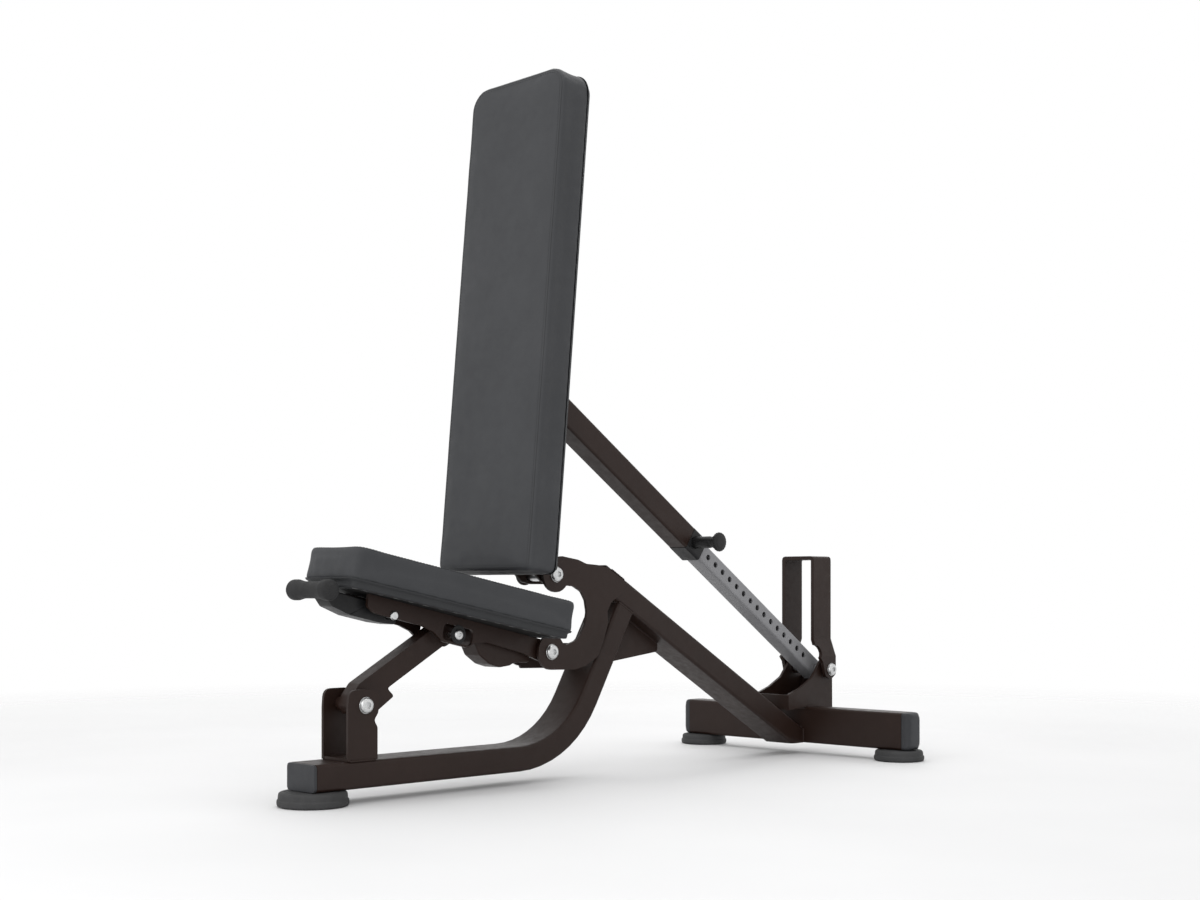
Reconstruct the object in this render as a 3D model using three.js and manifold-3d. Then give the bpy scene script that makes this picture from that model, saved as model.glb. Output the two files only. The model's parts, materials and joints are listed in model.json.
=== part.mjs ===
// Adjustable weight bench. Millimetres, +Z up, +X towards the rear, +Y to the left of a person
// sitting on it. The origin is on the floor below the middle of the overall length.
import * as THREE from "three";
import { mergeVertices } from "three/addons/utils/BufferGeometryUtils.js";
import Module from "manifold-3d";

const wasm = await Module();
wasm.setup();

// ---------- driving dimensions ----------
const X_CENTRE = 644.85; // middle of the overall length, measured from the front foot's centre
const TUBE_W = 78, TUBE_D = 46.5, WALL = 3, TUBE_R = 6; // main frame tube: across, in the plane of the frame
const TUBE_AXIS_Z = 48.25, TUBE_START_X = -18.7, BEND_X = 430, BEND_R = 200, BEND_DEG = 60, RISER_LEN = 198.2;
const DIAG_DEG = 30, DIAG_TOP_X = 743.8, DIAG_TOP_Z = 350;
const CROSS_X0 = 1254, CROSS_X1 = 1302, CROSS_Z0 = 23, CROSS_Z1 = 101, CROSS_HALF = 292;
const FRONT_FOOT_R = 59.3, FRONT_FOOT_H = 24.6, REAR_FOOT_R = 51.7, REAR_FOOT_H = 22.6, REAR_FOOT_X = 1279, REAR_FOOT_Y = 270;
const P = [510, 384]; // backrest pivot
const S = [498, 241]; // seat pivot
const F = [80, 163.5]; // seat strut's lower pivot
const B = [1328, 180]; // back strut's lower pivot
const RECLINE = 5.42, SEAT_TILT = 12.2; // rest angles
const STRUT_DEG = 33.588, STRUT_LEN = 967.83; // back strut at rest: slope and pivot distance
const SEAT_STRUT_DEG = 29.44, SEAT_STRUT_LEN = 231.5;
const YOKE_IN = 39.3, YOKE_OUT = 45.3;
const PITCH = 27, HOLE_FIRST = 58, HOLES = 17, PIN_AT = 490, PIN_NOSE = 19.5;
const PAD_HALF = 130, PAD_B0 = -10, PAD_B1 = 909, PAD_M0 = 78.5, PAD_M1 = 144;
const SEAT_A0 = 26, SEAT_A1 = 489, SEAT_N0 = 31.5, SEAT_N1 = 88, SEAT_HALF_REAR = 130, SEAT_HALF_FRONT = 72;
const GAP = 0.3;

// ---------- solid helpers ----------
function solid(geometry) {
  let g = geometry.index ? geometry.toNonIndexed() : geometry.clone();
  g.deleteAttribute("normal");
  g.deleteAttribute("uv");
  g = mergeVertices(g, 1e-4);
  const tri = new Uint32Array(g.index.array);
  const make = () => new wasm.Manifold(new wasm.Mesh({ numProp: 3, vertProperties: new Float32Array(g.attributes.position.array), triVerts: tri }));
  let m = make();
  if (m.volume() < 0) {
    for (let i = 0; i < tri.length; i += 3) [tri[i + 1], tri[i + 2]] = [tri[i + 2], tri[i + 1]];
    m = make();
  }
  return m;
}
const join = (...s) => s.reduce((a, b) => a.add(b));
const cut = (a, ...s) => s.reduce((x, b) => x.subtract(b), a);
function geometryOf(m) {
  const mesh = m.getMesh(), n = mesh.numProp, v = new Float32Array(mesh.numVert * 3);
  for (let i = 0; i < mesh.numVert; i++) v.set(mesh.vertProperties.subarray(i * n, i * n + 3), i * 3);
  const g = new THREE.BufferGeometry();
  g.setAttribute("position", new THREE.BufferAttribute(v, 3));
  g.setIndex(new THREE.BufferAttribute(new Uint32Array(mesh.triVerts), 1));
  return g;
}
const shapeOf = (pts) => new THREE.Shape(pts.map((p) => new THREE.Vector2(p[0], p[1])));
// an outline in X and Z, made thick along Y
function prismY(pts, y0, y1) {
  const g = new THREE.ExtrudeGeometry(shapeOf(pts), { depth: y1 - y0, bevelEnabled: false });
  g.rotateX(Math.PI / 2);
  g.translate(0, y1, 0);
  return solid(g);
}
// an outline in X and Y, made thick along Z
function prismZ(pts, z0, z1) {
  const g = new THREE.ExtrudeGeometry(shapeOf(pts), { depth: z1 - z0, bevelEnabled: false });
  g.translate(0, 0, z0);
  return solid(g);
}
// an outline in Y and Z, made thick along X
function prismX(pts, x0, x1) {
  const g = new THREE.ExtrudeGeometry(shapeOf(pts), { depth: x1 - x0, bevelEnabled: false });
  g.applyMatrix4(new THREE.Matrix4().set(0, 0, 1, x0, 1, 0, 0, 0, 0, 1, 0, 0, 0, 0, 0, 1));
  return solid(g);
}
function box(x0, x1, y0, y1, z0, z1) {
  const g = new THREE.BoxGeometry(x1 - x0, y1 - y0, z1 - z0);
  g.translate((x0 + x1) / 2, (y0 + y1) / 2, (z0 + z1) / 2);
  return solid(g);
}
function cylY(x, z, r, y0, y1, seg = 16) {
  const g = new THREE.CylinderGeometry(r, r, y1 - y0, seg);
  g.translate(x, (y0 + y1) / 2, z);
  return solid(g);
}
function cylZ(x, y, r, z0, z1, seg = 12) {
  const g = new THREE.CylinderGeometry(r, r, z1 - z0, seg);
  g.rotateX(Math.PI / 2);
  g.translate(x, y, (z0 + z1) / 2);
  return solid(g);
}
const ring = (x, z, ro, ri, y0, y1, seg = 14) => cut(cylY(x, z, ro, y0, y1, seg), cylY(x, z, ri, y0 - 1, y1 + 1, seg));
// a profile of [radius, height] turned about the Z axis through x, y
function latheZ(profile, x, y, seg = 28) {
  const g = new THREE.LatheGeometry(profile.map((p) => new THREE.Vector2(p[0], p[1])), seg);
  g.rotateX(Math.PI / 2);
  g.translate(x, y, 0);
  return solid(g);
}
// a profile of [radius, y] turned about the line along Y through x, z
function latheY(profile, x, z, seg = 18) {
  const g = new THREE.LatheGeometry(profile.map((p) => new THREE.Vector2(p[0], p[1])), seg);
  g.translate(x, 0, z);
  return solid(g);
}
function roundRect(w, h, r, n = 2) {
  const pts = [];
  for (const [cx, cy, a0] of [[w / 2 - r, h / 2 - r, 0], [-w / 2 + r, h / 2 - r, 90], [-w / 2 + r, -h / 2 + r, 180], [w / 2 - r, -h / 2 + r, 270]])
    for (let i = 0; i <= n; i++) {
      const a = ((a0 + (90 * i) / n) * Math.PI) / 180;
      pts.push([cx + r * Math.cos(a), cy + r * Math.sin(a)]);
    }
  return pts;
}
// an outline with each corner rounded by its own radius: [x, z, r]
function rounded(pts, n = 5) {
  const out = [], N = pts.length;
  for (let i = 0; i < N; i++) {
    const [x, y, r = 0] = pts[i], p = pts[(i + N - 1) % N], q = pts[(i + 1) % N];
    if (!r) { out.push([x, y]); continue; }
    const v = new THREE.Vector2(x, y), a = new THREE.Vector2(p[0], p[1]).sub(v), b = new THREE.Vector2(q[0], q[1]).sub(v);
    const la = a.length(), lb = b.length();
    a.normalize(); b.normalize();
    const half = Math.acos(Math.min(1, Math.max(-1, a.dot(b)))) / 2;
    const d = Math.min(r / Math.tan(half), la * 0.49, lb * 0.49);
    for (let k = 0; k <= n; k++) {
      const t = k / n, s = 1 - t;
      out.push([x + a.x * d * s * s + b.x * d * t * t, y + a.y * d * s * s + b.y * d * t * t]);
    }
  }
  return out;
}
// closed skin over a row of equal-length outlines (arrays of 3-D points)
function loft(rows) {
  const n = rows[0].length, v = [], tri = [];
  rows.forEach((r) => r.forEach((p) => v.push(...p)));
  for (let k = 0; k < rows.length - 1; k++)
    for (let i = 0; i < n; i++) {
      const j = (i + 1) % n, a = k * n + i, b = k * n + j, c = a + n, d = b + n;
      tri.push(a, b, d, a, d, c);
    }
  for (const [row, flip] of [[0, true], [rows.length - 1, false]]) {
    const o = row * n;
    for (let i = 1; i < n - 1; i++) flip ? tri.push(o, o + i + 1, o + i) : tri.push(o, o + i, o + i + 1);
  }
  const g = new THREE.BufferGeometry();
  g.setAttribute("position", new THREE.Float32BufferAttribute(v, 3));
  g.setIndex(tri);
  return solid(g);
}
// a tube section (across Y, in-plane depth) carried along stations [x, z, slope in degrees]
function sweep(section, stations) {
  return loft(stations.map(([x, z, deg]) => {
    const t = (deg * Math.PI) / 180;
    return section.map(([u, v]) => [x - v * Math.sin(t), u, z + v * Math.cos(t)]);
  }));
}
const circle = (cx, cy, r, n = 20) => Array.from({ length: n }, (_, i) => [cx + r * Math.cos((2 * Math.PI * i) / n), cy + r * Math.sin((2 * Math.PI * i) / n)]);
// a helical spring about the line along Y
function springY(x, z, r, wire, y0, y1, turns, perTurn = 8, sides = 4) {
  const rows = [], N = Math.round(turns * perTurn);
  for (let k = 0; k <= N; k++) {
    const a = (2 * Math.PI * k) / perTurn, y = y0 + wire + ((y1 - y0 - 2 * wire) * k) / N, row = [];
    for (let i = 0; i < sides; i++) {
      const b = (2 * Math.PI * i) / sides, rr = r + wire * Math.cos(b);
      row.push([x + rr * Math.cos(a), y + wire * Math.sin(b), z + rr * Math.sin(a)]);
    }
    rows.push(row);
  }
  return loft(rows);
}
function hexNut(x, z, acrossFlats, bore, y0, y1) {
  const r = acrossFlats / Math.sqrt(3);
  return cut(cylY(x, z, r, y0, y1, 6), cylY(x, z, bore, y0 - 1, y1 + 1, 16));
}
// a bolt along Y: round domed head at the -Y side, shank to yEnd
function boltY(x, z, headR, headT, yHead, shankR, yEnd) {
  return latheY([[0, yHead - headT], [headR * 0.8, yHead - headT], [headR, yHead - headT * 0.5], [headR, yHead], [shankR, yHead], [shankR, yEnd], [0, yEnd]], x, z, 14);
}

// ---------- materials ----------
const mat = (hex, roughness, metalness) => new THREE.MeshStandardMaterial({ color: hex, roughness, metalness });
const FRAME = () => mat(0x332624, 0.5, 0.15), RUBBER = () => mat(0x424243, 0.85, 0), CAP = () => mat(0x4c4d50, 0.6, 0),
  PAD = () => mat(0x454648, 0.6, 0), BOARD = () => mat(0x1c1c1c, 0.8, 0), ZINC = () => mat(0xc8cacc, 0.25, 1),
  GREY = () => mat(0xa2a2a8, 0.35, 0.3), PLASTIC = () => mat(0x141414, 0.5, 0), SPRING = () => mat(0x9a9a9a, 0.35, 1);

// ---------- scene graph ----------
const bench = new THREE.Group();
bench.position.x = -X_CENTRE;
const rad = (d) => (d * Math.PI) / 180;
function frameAt([x, z], deg) {
  const g = new THREE.Group();
  g.position.set(x, 0, z);
  g.rotation.y = rad(deg);
  bench.add(g);
  return g;
}
function add(group, name, m, material) {
  const mesh = new THREE.Mesh(geometryOf(m), material);
  mesh.name = name;
  group.add(mesh);
  return mesh;
}
const back = frameAt(P, RECLINE); // local z runs up the back, local -x towards the sitter
const seat = frameAt(S, SEAT_TILT); // local -x runs to the seat's nose, local z up through the pad
const strut = frameAt(B, STRUT_DEG); // local -x runs up the back strut
const seatStrut = frameAt(F, -SEAT_STRUT_DEG); // local x runs up the seat strut

// ---------- base frame ----------
function foot(x, y, r, h) {
  return cut(
    latheZ([[0, 0], [r - 5, 0], [r - 1.2, 1.6], [r, 4], [r, h * 0.4], [r - 1.6, h * 0.5], [r - 2.6, h - 3], [r - 5, h], [0, h]], x, y, 28),
    cylZ(x, y, 8.6, -1, 10.6), cylZ(x, y, 4.5, -1, h + 1, 14));
}
const stud = (x, y, top) => latheZ([[0, 4], [8, 4], [8, 10], [4, 10], [4, top], [0, top]], x, y, 10);
add(bench, "front_foot", foot(0, 0, FRONT_FOOT_R, FRONT_FOOT_H), RUBBER());
add(bench, "front_foot_stud", stud(0, 0, 36), ZINC());

const outerSection = roundRect(TUBE_W, TUBE_D, TUBE_R), innerSection = roundRect(TUBE_W - 2 * WALL, TUBE_D - 2 * WALL, TUBE_R - WALL);
const path = (before, after) => {
  const st = [[TUBE_START_X - before, TUBE_AXIS_Z, 0]];
  const N = 9;
  for (let i = 0; i <= N; i++) {
    const a = (BEND_DEG * i) / N;
    st.push([BEND_X + BEND_R * Math.sin(rad(a)), TUBE_AXIS_Z + BEND_R * (1 - Math.cos(rad(a))), a]);
  }
  const [x, z] = st[st.length - 1];
  st.push([x + (RISER_LEN + after) * Math.cos(rad(BEND_DEG)), z + (RISER_LEN + after) * Math.sin(rad(BEND_DEG)), BEND_DEG]);
  return st;
};
const mainTube = cut(sweep(outerSection, path(0, 0)), sweep(innerSection, path(5, 5)), cylZ(0, 0, 4.5, 20, 32, 14));
add(bench, "main_tube", mainTube, FRAME());
add(bench, "front_end_cap", join(
  prismX(roundRect(TUBE_W - 0.6, TUBE_D - 0.6, 6).map(([y, z]) => [y, z + TUBE_AXIS_Z]), -25, -19),
  prismX(roundRect(TUBE_W - 2 * WALL - 1, TUBE_D - 2 * WALL - 1, 3).map(([y, z]) => [y, z + TUBE_AXIS_Z]), -19.5, -5.5)), CAP());

const dc = Math.cos(rad(DIAG_DEG)), ds = Math.sin(rad(DIAG_DEG));
const diagAt = (x) => [x, DIAG_TOP_Z - ((x - DIAG_TOP_X) * ds) / dc]; // a point on the top face line
const diagStation = (x) => { const [px, pz] = diagAt(x); return [px - ds * TUBE_D / 2, pz - dc * TUBE_D / 2, -DIAG_DEG]; };
add(bench, "diagonal_tube", cut(
  sweep(outerSection, [diagStation(652), diagStation(1330)]),
  sweep(innerSection, [diagStation(640), diagStation(1340)]),
  box(CROSS_X0 - GAP, 1400, -60, 60, -50, 200), box(1100, 1400, -60, 60, -50, CROSS_Z0 + 0.2)), FRAME());

const yokeOutline = [[510, 416], [525, 418, 6], [566, 412, 20], [588, 404.5, 20], [617, 402.5, 20], [645, 397.5, 20], [698, 369, 4], [690, 352, 6], [655, 332, 10],
  [644, 314, 8], [646, 292, 10], [634, 259, 20], [619.5, 230, 16], [587, 213, 20], [559, 206.5, 10], [500, 208], [480, 240], [510, 262],
  [536, 253, 6], [559, 260, 14], [574, 272, 10], [585.5, 289, 12], [590, 314, 20], [585.5, 336, 12], [575, 352, 10], [555, 362, 10], [530, 364, 6], [505, 352], [500, 384]];
// the left plate's opening runs back to the tubes, so that it leaves the space behind the seat clear
const openOutline = [[505, 402], [525, 412, 6], [566, 410, 20], [588, 404.5, 20], [617, 402.5, 20], [645, 397.5, 20], [698, 369, 4], [712, 340, 8], [690, 300, 8], [660, 240, 12], [619.5, 222, 16],
  [587, 213, 20], [559, 206.5, 10], [500, 208], [480, 240], [500, 256], [641, 252, 6], [688, 332, 8], [664, 352, 8], [640, 366, 6], [505, 366]];
const yoke = (outline, rTop, rLow, y0, y1) => cut(
  join(prismY(rounded(outline, 2), y0, y1), cylY(P[0], P[1], rTop, y0, y1, 24), cylY(S[0], S[1], rLow, y0, y1, 24)),
  cylY(P[0], P[1], 6.3, -60, 60), cylY(S[0], S[1], 6.3, -60, 60));
add(bench, "yoke_plate_left", yoke(openOutline, 20, 28, YOKE_IN, YOKE_OUT), FRAME());
add(bench, "yoke_plate_right", yoke(yokeOutline, 33, 33, -YOKE_OUT, -YOKE_IN), FRAME());

// the gusset stands in the corner between the riser's rear face and the diagonal's underside
const under = (x) => DIAG_TOP_Z - ((x - DIAG_TOP_X) * ds) / dc - TUBE_D / dc - 0.4;
const riserBack = (z) => 669.5 + (z - 216.4) / Math.tan(rad(60)) + 0.5;
add(bench, "corner_gusset", prismY([[riserBack(212), 212], [824, 231], [828, 236], [828, under(828)], [725, under(725)], [riserBack(306), 306]], -4, 4), FRAME());

const crossSection = roundRect(CROSS_X1 - CROSS_X0, CROSS_Z1 - CROSS_Z0, 6), crossInner = roundRect(42, 72, 3);
const crossX = (CROSS_X0 + CROSS_X1) / 2, crossZ = (CROSS_Z0 + CROSS_Z1) / 2;
add(bench, "rear_cross_tube", cut(
  prismY(crossSection.map(([x, z]) => [x + crossX, z + crossZ]), -CROSS_HALF, CROSS_HALF),
  prismY(crossInner.map(([x, z]) => [x + crossX, z + crossZ]), -CROSS_HALF - 5, CROSS_HALF + 5),
  cylZ(REAR_FOOT_X, REAR_FOOT_Y, 4.5, 10, 40, 14), cylZ(REAR_FOOT_X, -REAR_FOOT_Y, 4.5, 10, 40, 14)), FRAME());
function endCap(side) {
  const row = (w, h, r, y) => roundRect(w, h, r, 4).map(([x, z]) => [x + crossX, side * y, z + crossZ]);
  return loft([row(41, 71, 3, 281), row(41, 71, 3, 292.3), row(47.4, 77.4, 6, 292.31), row(47.4, 77.4, 6, 300), row(45.4, 75.4, 8, 304.5), row(39, 69, 11, 308.6), row(28, 58, 11, 311)]);
}
for (const [s, n] of [[1, "left"], [-1, "right"]]) {
  add(bench, "rear_end_cap_" + n, endCap(s), CAP());
  add(bench, "rear_foot_" + n, foot(REAR_FOOT_X, s * REAR_FOOT_Y, REAR_FOOT_R, REAR_FOOT_H), RUBBER());
  add(bench, "rear_foot_stud_" + n, stud(REAR_FOOT_X, s * REAR_FOOT_Y, 34), ZINC());
}

const bracketSide = rounded([[1195, 96], [1195, 130, 4], [1236, 143, 30], [1276, 163, 20], [1298, 188, 16], [1310, 203, 10], [1330, 209, 16], [1348, 200, 12], [1349, 78], [1302.4, 78], [1302.4, 101.4], [1256, 101.4]], 4);
add(bench, "base_bracket", cut(join(
  prismY(bracketSide, -YOKE_OUT, -YOKE_IN), prismY(bracketSide, YOKE_IN, YOKE_OUT),
  box(1256, 1348, -YOKE_OUT + 1, YOKE_OUT - 1, 101.4, 107), box(1195.5, 1201, -YOKE_OUT + 1, YOKE_OUT - 1, 98, 129),
  box(1345.4, 1348.6, -YOKE_OUT + 1, YOKE_OUT - 1, 103, 163)),
  cylY(B[0], B[1], 6.3, -60, 60)), FRAME());

const legs = [[-58, 150], [-58, 209, 8], [-44, 247, 8], [-44, 428, 9], [44, 428, 9], [44, 247, 8], [58, 209, 8], [58, 150], [50, 150], [50, 207, 8], [36, 245, 8], [36, 420, 3], [-36, 420, 3], [-36, 245, 8], [-50, 207, 8], [-50, 150]];
add(bench, "rear_handle", cut(
  prismX(rounded(legs, 3), 1284, 1345).intersect(prismY(rounded([[1284, 430], [1345, 430], [1345.5, 190, 30], [1346, 170, 12], [1328, 158, 14], [1308, 166, 14], [1300, 196, 10], [1284, 214]], 4), -70, 70)),
  cylY(1284.6, 219.2, 14.5, -70, 70, 24), cylY(B[0], B[1], 6.3, -70, 70)), FRAME());
add(bench, "handle_spacer_left", ring(B[0], B[1], 12, 6.4, YOKE_OUT + GAP, 49.7), ZINC());
add(bench, "handle_spacer_right", ring(B[0], B[1], 12, 6.4, -49.7, -YOKE_OUT - GAP), ZINC());
add(bench, "bar_spacer_left", ring(B[0], B[1], 12, 6.4, 19.3, YOKE_IN - GAP), ZINC());
add(bench, "bar_spacer_right", ring(B[0], B[1], 12, 6.4, -YOKE_IN + GAP, -19.3), ZINC());
add(bench, "base_pivot_bolt", boltY(B[0], B[1], 13, 7, -58.3, 6, 72), ZINC());
add(bench, "base_pivot_nut", hexNut(B[0], B[1], 21, 6.2, 58.3, 69), ZINC());

const frontSide = rounded([[43.6, 72], [43.6, 160, 30], [46, 190, 26], [108, 190, 26], [106, 150, 14], [97, 138, 8], [104.3, 126, 8], [104.3, 72]], 5);
add(bench, "front_bracket", cut(join(
  prismY(frontSide, 32, 37.5), prismY(frontSide, -37.5, -32), box(44.5, 103.5, -37, 37, 71.9, 76.5)),
  cylY(F[0], F[1], 6.3, -60, 60)), FRAME());
add(bench, "seat_strut_bolt", boltY(F[0], F[1], 13.5, 7, -37.8, 6, 50), ZINC());
add(bench, "seat_strut_nut", hexNut(F[0], F[1], 21, 6.2, 37.8, 48), ZINC());
add(bench, "back_pivot_bolt", boltY(P[0], P[1], 14, 7, -YOKE_OUT - GAP, 6, 59), ZINC());
add(bench, "back_pivot_nut", hexNut(P[0], P[1], 21, 6.2, YOKE_OUT + GAP, 56), ZINC());
add(bench, "seat_pivot_bolt", boltY(S[0], S[1], 14, 7, -YOKE_OUT - GAP, 6, 59), ZINC());
add(bench, "seat_pivot_nut", hexNut(S[0], S[1], 21, 6.2, YOKE_OUT + GAP, 56), ZINC());

// ---------- seat (local: x = -a, z = n) ----------
const A = (pts) => pts.map(([a, n, r]) => [-a, n, r]);
const seatPlate = rounded(A([[-12, 14], [-22, 0, 10], [-12, -18, 12], [20, -20, 10], [60, -14, 10], [150, -11, 10], [178, -18, 10], [192, -29, 14], [250, -29, 14], [274, -16, 14], [300, -11, 10], [405, -10, 12], [422, -2, 8], [424, 19.6], [-6, 19.6]]), 4);
const slot = prismY(rounded(A([[184, -25], [184, 4.5, 10], [253, 4.5, 10], [253, -25, 10]]).map((p) => [p[0], p[1], 10]), 4), -60, 60);
add(seat, "seat_frame", cut(join(
  prismY(seatPlate, 29, 35), prismY(seatPlate, -35, -29),
  box(-168, -96, -34, 34, 13.6, 19.6), box(-345, -275, -34, 34, 13.6, 19.6)),
  slot, cylY(0, 0, 12.9, -60, 60), cylY(-365, -6, 5.3, -60, 60, 14)), FRAME());
add(seat, "seat_pivot_bush", ring(0, 0, 12.6, 6.4, -38.9, 38.9), ZINC());
const seatOutline = (inset) => rounded([[-(SEAT_A0 + inset), SEAT_HALF_REAR - inset, 24], [-(SEAT_A1 - inset), SEAT_HALF_FRONT - inset, 26], [-(SEAT_A1 - inset), -SEAT_HALF_FRONT + inset, 26], [-(SEAT_A0 + inset), -SEAT_HALF_REAR + inset, 24]], 5);
add(seat, "seat_board", prismZ(seatOutline(9), 20.2, 30.8), BOARD());
add(seat, "seat_pad", prismZ(seatOutline(0), SEAT_N0, SEAT_N1), PAD());
add(seat, "seat_latch_housing", prismY(rounded(A([[30, 12], [30, -26, 4], [64, -32.5, 8], [75, -40, 8], [98, -47.5, 14], [123, -46, 14], [150, -35, 8], [168, -14, 6], [168, 12]]), 3), -22, 22), FRAME());
add(seat, "lever_pin", boltY(-365, -6, 8, 4, -35.3, 5, 39), ZINC());
add(seat, "lever_spring", springY(-365, -6, 7.6, 1.1, 20.5, 28.3, 3), SPRING());
const lever = cut(join(
  prismY(rounded(A([[345, -18, 6], [345, 6, 6], [400, 10, 8], [470, 12, 10], [494, 14], [494, -2], [480, -14, 10], [440, -21, 20], [380, -21, 10]]), 3), -19, 19)),
  cylY(-365, -6, 5.5, -60, 60, 14));
add(seat, "seat_lever", lever, PLASTIC());
add(seat, "seat_grip", latheY([[0, -56.5], [10, -56.5], [15.5, -54], [17.6, -48], [17.6, -38], [14.6, -28], [14, -14], [14, 14], [14.6, 28], [17.6, 38], [17.6, 48], [15.5, 54], [10, 56.5], [0, 56.5]], -512.5, 7, 16), RUBBER());

// ---------- seat strut (local: x up the strut, z above it) ----------
const strutSide = rounded([[-17, -9, 8], [6, -24, 8], [24, -31.3, 4], [72, -28, 4], [66, -9, 4], [238, -9, 8], [240, 8, 8], [222, 28, 12], [214, 29], [20, 29, 12], [-2, 20, 12], [-17, 8, 8]], 3);
add(seatStrut, "seat_strut", cut(
  join(prismY(strutSide, -15, 15), ring(0, 0, 13, 6.4, -31.5, 31.5)),
  cylY(0, 0, 6.4, -60, 60), cylY(SEAT_STRUT_LEN, 0, 6.3, -60, 60)), FRAME());
add(seatStrut, "strut_slide_pin", boltY(SEAT_STRUT_LEN, 0, 10, 5, -35.5, 6, 45), ZINC());
add(seatStrut, "strut_pin_nut", hexNut(SEAT_STRUT_LEN, 0, 18, 6.2, 35.6, 43), ZINC());

// ---------- backrest (local: x = -m, z = b) ----------
const railOutline = rounded([[-70, 45], [-32, 45, 6], [-32, 700, 10], [-50, 720, 8], [-70, 720]], 3);
add(back, "back_rail_left", prismY(railOutline, 32, 57), FRAME());
add(back, "back_rail_right", prismY(railOutline, -57, -32), FRAME());
add(back, "back_cross_plate", box(-70, -64, -31.7, 31.7, 560, 640), FRAME());
const lug = rounded([[16, -6, 10], [10, 14, 8], [-20, 60, 20], [-57, 128], [-63, 128], [-63, 14, 8], [-20, -16, 12], [6, -18, 12]], 3);
add(back, "back_hinge_bracket", cut(join(
  prismY(lug, 24, 30), prismY(lug, -30, -24), box(-69.6, -63, -31.6, 31.6, 46, 128), box(-63.5, -57.5, -30, 30, 60, 120)),
  cylY(0, 0, 12.9, -60, 60)), FRAME());
add(back, "back_hinge_bush", ring(0, 0, 12.6, 6.4, -38.9, 38.9), ZINC());
const TOP_B = 331.05, TOP_M = 19.59;
const clevisLug = rounded([[-TOP_M + 15, TOP_B - 14, 12], [-TOP_M + 15, TOP_B + 14, 12], [-62, TOP_B + 44], [-69, TOP_B + 44], [-69, TOP_B - 44], [-62, TOP_B - 44]], 4);
add(back, "strut_clevis", cut(join(
  prismY(clevisLug, 25.8, 31), prismY(clevisLug, -31, -25.8), box(-69.5, -64, -31.5, 31.5, TOP_B - 44, TOP_B + 44)),
  cylY(-TOP_M, TOP_B, 5.3, -60, 60, 16)), FRAME());
add(back, "strut_top_bolt", boltY(-TOP_M, TOP_B, 9, 5, -31.3, 5, 42), ZINC());
add(back, "strut_top_nut", hexNut(-TOP_M, TOP_B, 16, 5.2, 31.3, 39.5), ZINC());
const backOutline = (inset) => rounded([[PAD_HALF - inset, PAD_B0 + inset, 20], [PAD_HALF - inset, PAD_B1 - inset, 45], [-PAD_HALF + inset, PAD_B1 - inset, 45], [-PAD_HALF + inset, PAD_B0 + inset, 20]], 5);
add(back, "back_board", prismX(backOutline(10), -78, -70.4), BOARD());
add(back, "back_pad", prismX(backOutline(0), -PAD_M1, -PAD_M0), PAD());

// ---------- back strut (local: x = -distance from the lower pivot) ----------
const barHoles = Array.from({ length: HOLES }, (_, i) => cylY(-(HOLE_FIRST + PITCH * i), 0, 6.1, -30, 30, 8));
add(strut, "adjuster_bar", cut(
  prismX(roundRect(38, 38, 5, 2), -516, 12), prismX(roundRect(32, 32, 2, 1), -520, 16), cylY(0, 0, 6.4, -30, 30, 16), ...barHoles), GREY());
add(strut, "adjuster_sleeve", cut(
  prismX(roundRect(48, 48, 5, 3), -STRUT_LEN - 22, -507.6), prismX(roundRect(41, 41, 2, 1), -STRUT_LEN - 30, -500),
  cylY(-STRUT_LEN, 0, 10.3, -30, 30)), FRAME());
add(strut, "sleeve_top_bush", ring(-STRUT_LEN, 0, 10, 5.4, -25.5, 25.5), ZINC());
add(strut, "sleeve_end_block", cut(
  prismX(roundRect(49.4, 49.4, 6, 3), -507.3, -462), prismX(roundRect(38.8, 38.8, 4.5, 2), -520, -450), cylY(-PIN_AT, 0, 12.3, -40, 0, 20)), PLASTIC());
add(strut, "pin_housing", cut(
  latheY([[0, -78], [9.5, -78], [11, -76], [11, -66], [12, -64], [12, -19.8], [0, -19.8]], -PIN_AT, 0, 20),
  cylY(-PIN_AT, 0, 9, -72, -26, 20), cylY(-PIN_AT, 0, 6.1, -90, -10, 16)), PLASTIC());
add(strut, "pin_spring", springY(-PIN_AT, 0, 7.9, 0.7, -71.6, -37.4, 6), SPRING());
// The pin stands with its nose lifted just clear of the bar's face, and goes in 5.5 mm further to sit in a hole.
add(strut, "pop_pin", latheY([[0, -90.4], [4, -90.4], [4, -80.5], [5.5, -80.5], [5.5, -PIN_NOSE - 17], [6.1, -PIN_NOSE - 17], [6.1, -PIN_NOSE - 14], [5.5, -PIN_NOSE - 14], [5.5, -PIN_NOSE - 2], [4.3, -PIN_NOSE], [0, -PIN_NOSE]], -PIN_AT, 0, 16), ZINC());
add(strut, "pin_knob", cut(
  latheY([[0, -92.5], [14, -92.5], [17.5, -91.4], [19.5, -89], [19.5, -85], [18, -83], [13.6, -82], [13.6, -76.8], [0, -76.8]], -PIN_AT, 0, 20),
  cylY(-PIN_AT, 0, 4.3, -90.9, -70, 16), cylY(-PIN_AT, 0, 11.9, -87.2, -70, 20)), PLASTIC());

export default bench;
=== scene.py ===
import bpy, bmesh, json, math, random
from mathutils import Vector, Matrix, noise
from mathutils.bvhtree import BVHTree


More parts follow.
